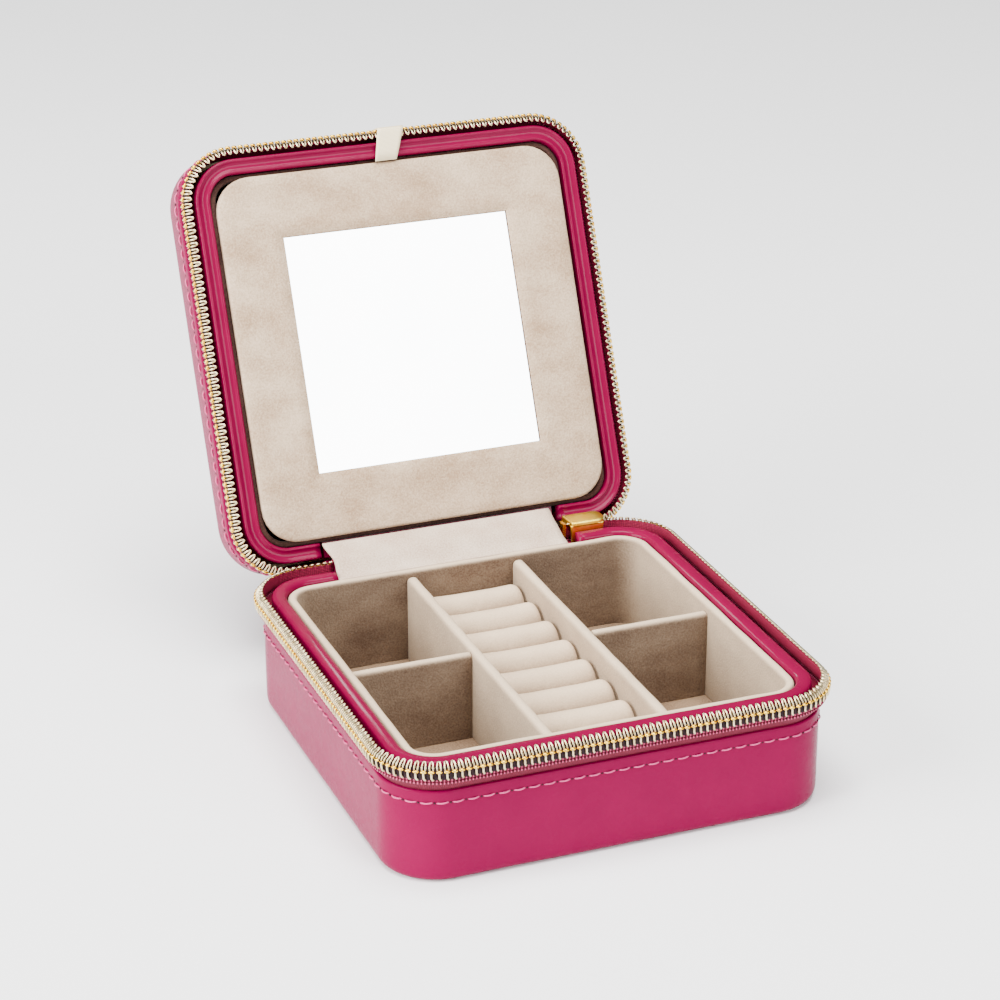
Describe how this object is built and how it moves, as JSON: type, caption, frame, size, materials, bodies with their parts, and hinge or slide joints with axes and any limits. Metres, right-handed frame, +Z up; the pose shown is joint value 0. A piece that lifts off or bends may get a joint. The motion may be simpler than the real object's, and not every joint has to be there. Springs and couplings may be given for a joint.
{
  "type": "travel jewelry case",
  "caption": "Square zip-round travel jewelry case, shown open, with a divided velvet tray, padded ring rolls and a hinged mirror panel over a pocket in the lid.",
  "frame": {"origin": "centre of the flat underside of the base", "axes": "+Z up, the front towards -Y, the fabric hinge along X at the back (+Y); the lid is open at rest"},
  "size_m": [0.1236, 0.1952, 0.1395],
  "materials": {
    "pink_leather": "glossy smooth",
    "zip_tape": "woven",
    "zip_teeth": "bright plated",
    "velvet": "soft pile",
    "board": "plain",
    "mirror": "polished",
    "ribbon": "satin",
    "slider_gold": "polished"
  },
  "bodies": {
    "base": {"base_leather_cover": "pink_leather", "base_bottom_board": "board", "base_wall_board": "board", "base_hinge_board": "board", "base_collar": "pink_leather", "base_zip_tape": "zip_tape", "base_zip_chain": "zip_teeth", "base_zip_end_stop": "zip_teeth", "zip_bottom_stop": "zip_teeth", "tray_wall": "velvet", "tray_floor": "velvet", "left_divider": "velvet", "right_divider": "velvet", "left_cross_divider": "velvet", "right_cross_divider": "velvet", "ring_roll_1": "velvet", "ring_roll_2": "velvet", "ring_roll_3": "velvet", "ring_roll_4": "velvet", "ring_roll_5": "velvet", "ring_roll_6": "velvet", "ring_roll_7": "velvet", "ring_roll_8": "velvet", "hinge_gusset": "velvet", "hinge_spine": "pink_leather"},
    "lid": {"lid_leather_cover": "pink_leather", "lid_top_board": "board", "lid_wall_board": "board", "lid_hinge_board": "board", "lid_collar": "pink_leather", "lid_zip_tape": "zip_tape", "lid_zip_chain": "zip_teeth", "lid_zip_end_stop": "zip_teeth", "pocket_wall": "velvet", "pocket_floor": "velvet"},
    "mirror_flap": {"mirror_panel": "velvet", "mirror_glass": "mirror", "mirror_backing": "board"},
    "tab": {"mirror_tab": "ribbon"},
    "slider": {"slider_body": "slider_gold", "slider_bridge": "slider_gold"},
    "pull": {"pull_tab": "slider_gold"}
  },
  "joints": [
    {"name": "lid_hinge", "type": "hinge", "parent": "base", "child": "lid", "pos_m": [0, 0.0608, 0.0301], "axis": [1, 0, 0], "range_deg": [0, 114], "deforming": ["hinge_gusset", "hinge_spine"]},
    {"name": "mirror_hinge", "type": "hinge", "parent": "lid", "child": "mirror_flap", "pos_m": [0, 0.06918, 0.03688], "axis": [-1, 0, 0], "range_deg": [-95, 0]},
    {"name": "tab_fold", "type": "hinge", "parent": "mirror_flap", "child": "tab", "pos_m": [0, 0.11047, 0.13059], "axis": [-1, 0, 0], "range_deg": [-100, 0]},
    {"name": "slider_travel", "type": "slide", "parent": "base", "child": "slider", "axis": [1, 0, 0], "range_m": [0, 0.0045]},
    {"name": "pull_swing", "type": "hinge", "parent": "slider", "child": "pull", "pos_m": [0.04, 0.0655, 0.032], "axis": [1, 0, 0], "range_deg": [-10, 45]}
  ]
}
